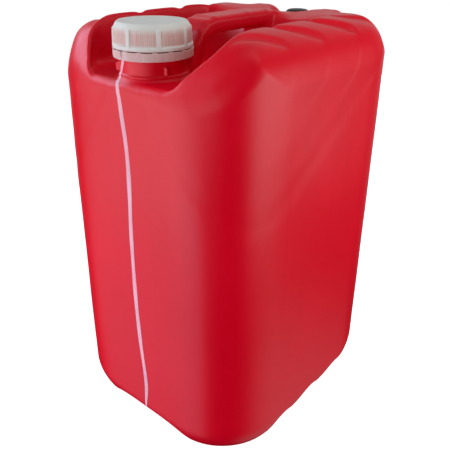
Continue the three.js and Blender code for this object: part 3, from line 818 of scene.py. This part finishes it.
def ring_shape(A, R, Z):
    top = (Z > 415.0) & (R > 31.9)
    for a in BRIDGES:
        arc = np.abs(np.mod(A - a + np.pi, 2 * np.pi) - np.pi) * 34.0
        Z = np.where(top, Z + 0.72 * np.clip(2.3 - arc, 0.0, 1.0), Z)
    # vertical tear slit in the outer wall
    arc = np.abs(np.mod(A - RING_SLIT + np.pi, 2 * np.pi) - np.pi) * 34.0
    cut = np.clip((0.75 - arc) / 0.2, 0.0, 1.0) * np.clip((Z - 410.6) / 0.5, 0.0, 1.0)
    R = np.where(R > 33.0, R - 1.7 * cut, R)
    # line where the two ends of the tear strip meet
    fine = np.clip((0.5 - np.abs(Z - 409.6)) / 0.4, 0.0, 1.0)
    return R - np.where(R > 34.3, 0.12 * fine, 0.0), Z


ring_profile = refine(fillet([
    (31.3, 408.4), (31.6, 408.2, 0.2), (34.1, 408.2, 0.5), (34.5, 409.2, 0.5), (34.5, 415.2, 0.3), (31.4, 415.3, 0.3), (31.3, 414.8, 0.2), (31.3, 408.4),
], 0.3), 0.5)
ring = turned("break_ring", ring_profile, 512, NECK_Y, CAP, ring_shape)

wad = turned("sealing_wad", refine(fillet([
    (0.0, 434.3), (30.1, 434.3, 0.3), (30.1, 432.7, 0.3), (0.0, 432.7)]), 2.0), 96, NECK_Y, WAD)


# ------------------------------------------------------------ vent cap, gasket
def vent_shape(A, R, Z):
    outer = (R > 12.9) & (Z > 413.4) & (Z < 425.0)
    rise = np.clip((Z - 413.4) / 0.8, 0.0, 1.0) * np.clip((425.0 - Z) / 2.5, 0.0, 1.0)
    flute = 0.5 + 0.5 * np.cos(A * 36)
    R = R - np.where(outer, rise * 0.55 * flute ** 2, 0.0)
    wall = np.abs(R - 12.3) < 0.05
    aa = np.mod(A, 2 * np.pi)
    add = np.zeros_like(R)
    for n in range(3):
        t = aa + 2 * np.pi * n
        ok = t <= 2 * np.pi * V_TURNS
        taper = np.clip(np.minimum(t, 2 * np.pi * V_TURNS - t) / 0.3, 0.0, 1.0)
        zc = V_THREAD_Z - V_PITCH / 2 + V_PITCH * t / (2 * np.pi)
        h = np.sqrt(np.maximum(V_BEAD ** 2 - (Z - zc) ** 2, 0.0)) + 0.2
        h = np.where(ok & (np.abs(Z - zc) < V_BEAD), h * taper, 0.0)
        add = np.maximum(add, h)
    return R - np.where(wall, add, 0.0), Z


vent = turned("vent_screw_cap", refine(fillet([
    (0.0, 429.0), (7.5, 428.9, 1.5), (11.2, 428.1, 1.8), (13.5, 425.6, 1.8), (14.6, 421.0, 1.5), (15.3, 414.0, 0.5), (15.5, 413.2, 0.4),
    (15.5, 412.5, 0.4), (12.3, 412.4, 0.3), (12.3, 424.6, 0.4), (11.9, 426.4, 0.3), (0.0, 426.5)]), 0.5), 432, VENT_Y, VENT_BLACK, vent_shape)
gasket = turned("vent_washer", refine(fillet([
    (5.0, 425.5), (5.0, 424.9, 0.2), (11.8, 424.9, 0.3), (11.8, 426.2, 0.3), (5.0, 426.2, 0.2), (5.0, 425.5)]), 1.0), 96, VENT_Y, GASKET_BLACK)

# ------------------------------------------------------------- riding the frame
for o in (shell, pour_neck, vent_neck):
    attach(o, "can")
    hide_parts("body_shell")
for o, body, cad, slot in (
        (stripe, "can", "sight_stripe", "stripe_natural"),
        (ring, "can", "tamper_ring", "cap_white"),
        (cap, "cap", "main_cap", "cap_white"),
        (wad, "wad", "cap_wad", "wad_white"),
        (vent, "vent", "vent_cap", "vent_black"),
        (gasket, "gasket", "vent_gasket", "gasket_black")):
    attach(o, body)
    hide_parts(cad)


# ------------------------------------------------------------------------ stage
def floor_material():
    m, nt, p = new_material("pale_floor")
    co = object_coord(nt)
    nt.links.new(ramp(nt, noise(nt, co, 3.0), [(0.3, srgb(246, 246, 246)), (0.7, srgb(250, 250, 250))]), p.inputs["Base Color"])
    p.inputs["Roughness"].default_value = 0.9
    p.inputs["Specular IOR Level"].default_value = 0.0
    p.inputs["Emission Color"].default_value = (1, 1, 1, 1)
    p.inputs["Emission Strength"].default_value = 0.9
    return m


floor = mesh_object("floor", [(-9000, -9000, -0.2), (9000, -9000, -0.2), (9000, 9000, -0.2), (-9000, 9000, -0.2)], np.array([[0, 1, 2, 3]]), floor_material(), False)
floor.visible_glossy = False
floor.visible_diffuse = False
floor.visible_shadow = False


def softbox(name, at, look, size, power, glossy=True, colour=(1.0, 1.0, 1.0)):
    d = bpy.data.lights.new(name, "AREA")
    d.shape = "RECTANGLE"
    d.size, d.size_y = size
    d.energy = power
    d.color = colour
    o = bpy.data.objects.new(name, d)
    at, look = np.array(at, float), np.array(look, float)
    z = at - look
    z /= np.linalg.norm(z)
    x = np.cross((0, 0, 1), z)
    x /= np.linalg.norm(x)
    y = np.cross(z, x)
    o.matrix_world = Matrix(((x[0], y[0], z[0], at[0]), (x[1], y[1], z[1], at[1]), (x[2], y[2], z[2], at[2]), (0, 0, 0, 1)))
    o.visible_glossy = glossy
    bpy.context.scene.collection.objects.link(o)
    return o


softbox("panel_left", (-0.56, -0.50, 0.15), (-0.56, 0.0, 0.15), (1.28, 1.5), 2.8, colour=(0.99, 0.96, 1.10))
# soft-edged panels: nested sheets that add up towards the middle
for k in range(4):
    x0, x1, z0, z1 = -0.62 + 0.07 * k, 0.08 - 0.06 * k, 0.0, 0.50 - 0.04 * k
    softbox(f"panel_front_{k}", (0.5 * (x0 + x1), -0.52 - 0.01 * k, 0.5 * (z0 + z1)), (0.5 * (x0 + x1), 0.0, 0.5 * (z0 + z1)),
            (x1 - x0, z1 - z0), 0.68 * (x1 - x0) * (z1 - z0))
for k in range(7):
    y0, y1, z0, z1 = -0.20 + 0.035 * k, 0.80 - 0.055 * k, 0.03 * k, 0.72 - 0.035 * k
    softbox(f"panel_right_{k}", (0.55 + 0.01 * k, 0.5 * (y0 + y1), 0.5 * (z0 + z1)), (0.0, 0.5 * (y0 + y1), 0.5 * (z0 + z1)),
            (y1 - y0, z1 - z0), 0.68 * (y1 - y0) * (z1 - z0))
softbox("panel_high", (-1.30, -0.42, 1.08), (-0.08, -0.12, 0.40), (1.10, 0.55), 5.3, colour=(0.86, 0.95, 1.25))
softbox("fill_left", (-1.17, -1.31, 0.56), (0, 0, 0.22), (1.0, 1.0), 8.5, glossy=False)
softbox("fill_front", (0.45, -1.70, 0.45), (0, 0, 0.22), (0.8, 0.8), 8.1, glossy=False)
softbox("fill_low_front", (-0.22, -0.68, -0.25), (0.0, -0.10, 0.10), (0.5, 0.5), 1.0, glossy=False, colour=(1.0, 0.9, 1.6))
softbox("fill_low_right", (0.75, 0.18, -0.25), (0.10, 0.06, 0.10), (0.5, 0.5), 0.5, glossy=False)
softbox("fill_right", (1.70, 0.20, 0.34), (0, 0.1, 0.22), (1.0, 1.0), 10.0, glossy=False)
softbox("fill_back", (-0.25, 1.75, 0.50), (0, 0, 0.22), (1.0, 1.0), 7.0, glossy=False)
softbox("top", (0.45, 0.15, 1.80), (0, 0, 0.3), (1.2, 1.2), 10.0, glossy=False)

# dim studio surround: a little light from above, from behind on the left and from low on the right
world = bpy.data.worlds.new("studio")
bpy.context.scene.world = world
world.use_nodes = True
wt = world.node_tree
bg = wt.nodes["Background"]
bg.inputs["Strength"].default_value = 1.0
direction = wt.nodes.new("ShaderNodeTexCoord").outputs["Generated"]
LOBES = [
    ((0.40, 0.40, -0.82), 0.86, 0.99, 0.35),
    ((-0.60, 0.78, 0.18), 0.45, 0.95, 0.42),
    ((0.0, 0.0, 1.0), 0.10, 0.90, 0.10),
]
total = None
for axis, c0, c1, amount in LOBES:
    n = wt.nodes.new("ShaderNodeVectorMath")
    n.operation = "DOT_PRODUCT"
    a = np.array(axis) / np.linalg.norm(axis)
    wt.links.new(direction, n.inputs[0])
    n.inputs[1].default_value = tuple(a)
    m = wt.nodes.new("ShaderNodeMapRange")
    m.interpolation_type = "SMOOTHSTEP"
    m.inputs["From Min"].default_value = c0
    m.inputs["From Max"].default_value = c1
    m.inputs["To Min"].default_value = 0.0
    m.inputs["To Max"].default_value = amount
    wt.links.new(n.outputs["Value"], m.inputs["Value"])
    if total is None:
        total = m.outputs["Result"]
    else:
        t = wt.nodes.new("ShaderNodeMath")
        t.operation = "ADD"
        wt.links.new(total, t.inputs[0])
        wt.links.new(m.outputs["Result"], t.inputs[1])
        total = t.outputs[0]
wt.links.new(total, bg.inputs["Color"])
pale = wt.nodes.new("ShaderNodeBackground")
pale.inputs["Color"].default_value = (1.0, 1.0, 1.0, 1.0)
seen = wt.nodes.new("ShaderNodeMixShader")
wt.links.new(wt.nodes.new("ShaderNodeLightPath").outputs["Is Camera Ray"], seen.inputs["Fac"])
wt.links.new(bg.outputs["Background"], seen.inputs[1])
wt.links.new(pale.outputs["Background"], seen.inputs[2])
wt.links.new(seen.outputs["Shader"], wt.nodes["World Output"].inputs["Surface"])

# ----------------------------------------------------------------------- camera
FOCAL, PPX, PPY = 550.3066, 223.7863, 219.3101
CAM_AT = (357.4053, -440.6529, 496.4069)
YAW, PITCH_DOWN, ROLL = 0.6924, 0.4688, 0.0079
fwd = np.array([-math.sin(YAW) * math.cos(PITCH_DOWN), math.cos(YAW) * math.cos(PITCH_DOWN), -math.sin(PITCH_DOWN)])
right = np.array([math.cos(YAW), math.sin(YAW), 0.0])
up = np.cross(right, fwd)
r2 = right * math.cos(ROLL) + up * math.sin(ROLL)
u2 = -right * math.sin(ROLL) + up * math.cos(ROLL)
cam_data = bpy.data.cameras.new("photo_camera")
cam_data.sensor_fit = "HORIZONTAL"
cam_data.sensor_width = 36.0
cam_data.lens = FOCAL / 450.0 * 36.0
cam_data.shift_x = (225.0 - PPX) / 450.0
cam_data.shift_y = (PPY - 225.0) / 450.0
cam_data.clip_start = 0.01
cam = bpy.data.objects.new("photo_camera", cam_data)
cam.matrix_world = Matrix((
    (r2[0], u2[0], -fwd[0], CAM_AT[0] * MM),
    (r2[1], u2[1], -fwd[1], CAM_AT[1] * MM),
    (r2[2], u2[2], -fwd[2], CAM_AT[2] * MM),
    (0, 0, 0, 1)))
bpy.context.scene.collection.objects.link(cam)
bpy.context.scene.camera = cam

scene = bpy.context.scene
scene.view_settings.view_transform = "Standard"
scene.view_settings.look = "None"
